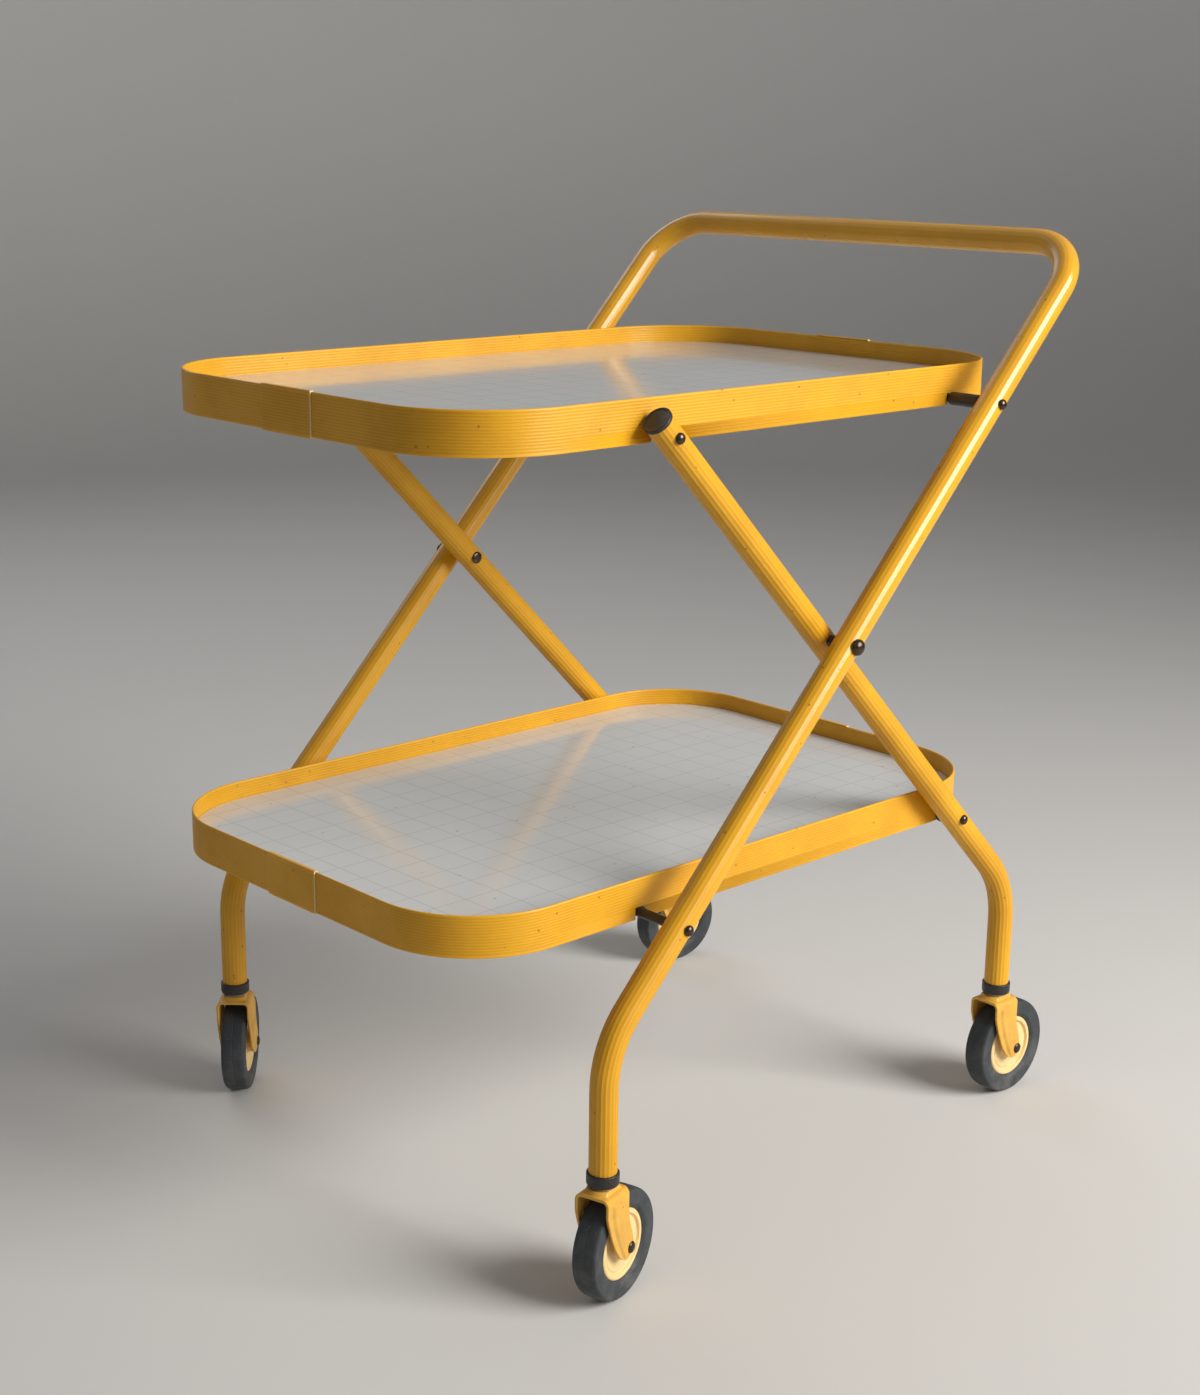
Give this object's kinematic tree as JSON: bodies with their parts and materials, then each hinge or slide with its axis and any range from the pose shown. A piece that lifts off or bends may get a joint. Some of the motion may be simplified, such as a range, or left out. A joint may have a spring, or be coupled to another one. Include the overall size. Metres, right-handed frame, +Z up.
{
  "type": "folding serving trolley",
  "caption": "Folding two-tier serving trolley: rimmed trays on crossed bent-tube legs, push handle at one end, swivel casters; the trays hook on cross rods and lift as the legs close.",
  "frame": {"origin": "on the floor, below the middle of the trays and midway between the legs", "axes": "+X towards the handle end, +Y towards the right-hand side, +Z up"},
  "size_m": [0.6214, 0.5059, 0.7106],
  "materials": {
    "frame_lacquer": "gold yellow lacquered fluted aluminium tube",
    "rim_lacquer": "gold yellow lacquered ribbed aluminium strip",
    "laminate": "glossy white laminate with a faint grey grid",
    "black_plastic": "satin black moulded plastic",
    "dark_rod": "black painted steel rod",
    "dark_rivet": "dark oxidised domed rivet",
    "fork_enamel": "yellow enamelled pressed steel",
    "hub_cream": "cream moulded plastic",
    "tyre_rubber": "dark grey rubber",
    "bright_steel": "plain steel pins and screws"
  },
  "bodies": {
    "handle_frame": {"handle_frame_tube": "frame_lacquer", "upper_pivot_rod": "dark_rod", "lower_hook_rod": "dark_rod", "frame_rod_rivets": "dark_rivet", "upper_pivot_sleeves": "black_plastic", "crossing_spacers": "black_plastic", "crossing_rivets": "dark_rivet", "front_left_socket": "black_plastic", "front_right_socket": "black_plastic"},
    "rear_legs": {"rear_leg_left_tube": "frame_lacquer", "rear_leg_right_tube": "frame_lacquer", "rear_leg_left_cap": "black_plastic", "rear_leg_right_cap": "black_plastic", "upper_hook_rod": "dark_rod", "lower_pivot_rod": "dark_rod", "rear_leg_rod_rivets": "dark_rivet", "lower_pivot_washers": "black_plastic", "rear_left_socket": "black_plastic", "rear_right_socket": "black_plastic"},
    "upper_tray": {"upper_tray_rim_left": "rim_lacquer", "upper_tray_rim_right": "rim_lacquer", "upper_tray_clip_front": "rim_lacquer", "upper_tray_clip_rear": "rim_lacquer", "upper_tray_panel": "laminate", "upper_tray_saddles": "black_plastic", "upper_tray_saddle_screws": "bright_steel"},
    "lower_tray": {"lower_tray_rim_left": "rim_lacquer", "lower_tray_rim_right": "rim_lacquer", "lower_tray_clip_front": "rim_lacquer", "lower_tray_clip_rear": "rim_lacquer", "lower_tray_panel": "laminate", "lower_tray_saddles": "black_plastic", "lower_tray_saddle_screws": "bright_steel"},
    "front_left_swivel": {"front_left_stem": "bright_steel", "front_left_fork": "fork_enamel", "front_left_axle": "bright_steel"},
    "front_left_wheel": {"front_left_hub": "hub_cream", "front_left_tyre": "tyre_rubber"},
    "front_right_swivel": {"front_right_stem": "bright_steel", "front_right_fork": "fork_enamel", "front_right_axle": "bright_steel"},
    "front_right_wheel": {"front_right_hub": "hub_cream", "front_right_tyre": "tyre_rubber"},
    "rear_left_swivel": {"rear_left_stem": "bright_steel", "rear_left_fork": "fork_enamel", "rear_left_axle": "bright_steel"},
    "rear_left_wheel": {"rear_left_hub": "hub_cream", "rear_left_tyre": "tyre_rubber"},
    "rear_right_swivel": {"rear_right_stem": "bright_steel", "rear_right_fork": "fork_enamel", "rear_right_axle": "bright_steel"},
    "rear_right_wheel": {"rear_right_hub": "hub_cream", "rear_right_tyre": "tyre_rubber"}
  },
  "joints": [
    {"name": "leg_fold", "type": "hinge", "parent": "handle_frame", "child": "rear_legs", "pos_m": [0.041, 0, 0.43], "axis": [0, 1, 0], "range_deg": [0, 52]},
    {"name": "upper_tray_lift", "type": "hinge", "parent": "handle_frame", "child": "upper_tray", "pos_m": [0.19348, 0, 0.589], "axis": [0, 1, 0], "range_deg": [0, 119.7]},
    {"name": "lower_tray_lift", "type": "hinge", "parent": "rear_legs", "child": "lower_tray", "pos_m": [0.20963, 0, 0.259], "axis": [0, 1, 0], "range_deg": [0, 41.7]},
    {"name": "front_left_caster_swivel", "type": "hinge", "parent": "handle_frame", "child": "front_left_swivel", "pos_m": [-0.19048, -0.2215, 0.04], "axis": [0, 0, 1], "continuous": true},
    {"name": "front_left_wheel_spin", "type": "hinge", "parent": "front_left_swivel", "child": "front_left_wheel", "pos_m": [-0.17599, -0.21762, 0.04], "axis": [-0.2588, 0.9659, 0], "continuous": true},
    {"name": "front_right_caster_swivel", "type": "hinge", "parent": "handle_frame", "child": "front_right_swivel", "pos_m": [-0.19048, 0.2215, 0.04], "axis": [0, 0, 1], "continuous": true},
    {"name": "front_right_wheel_spin", "type": "hinge", "parent": "front_right_swivel", "child": "front_right_wheel", "pos_m": [-0.18016, 0.23238, 0.04], "axis": [-0.7254, 0.6884, 0], "continuous": true},
    {"name": "rear_left_caster_swivel", "type": "hinge", "parent": "rear_legs", "child": "rear_left_swivel", "pos_m": [0.28103, -0.1965, 0.04], "axis": [0, 0, 1], "continuous": true},
    {"name": "rear_left_wheel_spin", "type": "hinge", "parent": "rear_left_swivel", "child": "rear_left_wheel", "pos_m": [0.29603, -0.19676, 0.04], "axis": [0.0175, 0.9998, 0], "continuous": true},
    {"name": "rear_right_caster_swivel", "type": "hinge", "parent": "rear_legs", "child": "rear_right_swivel", "pos_m": [0.28103, 0.1965, 0.04], "axis": [0, 0, 1], "continuous": true},
    {"name": "rear_right_wheel_spin", "type": "hinge", "parent": "rear_right_swivel", "child": "rear_right_wheel", "pos_m": [0.29588, 0.19441, 0.04], "axis": [0.1392, 0.9903, 0], "continuous": true}
  ],
  "couplings": [
    {"joint": "upper_tray_lift", "follows": "leg_fold", "ratio": 2.3},
    {"joint": "lower_tray_lift", "follows": "leg_fold", "ratio": 0.8}
  ]
}
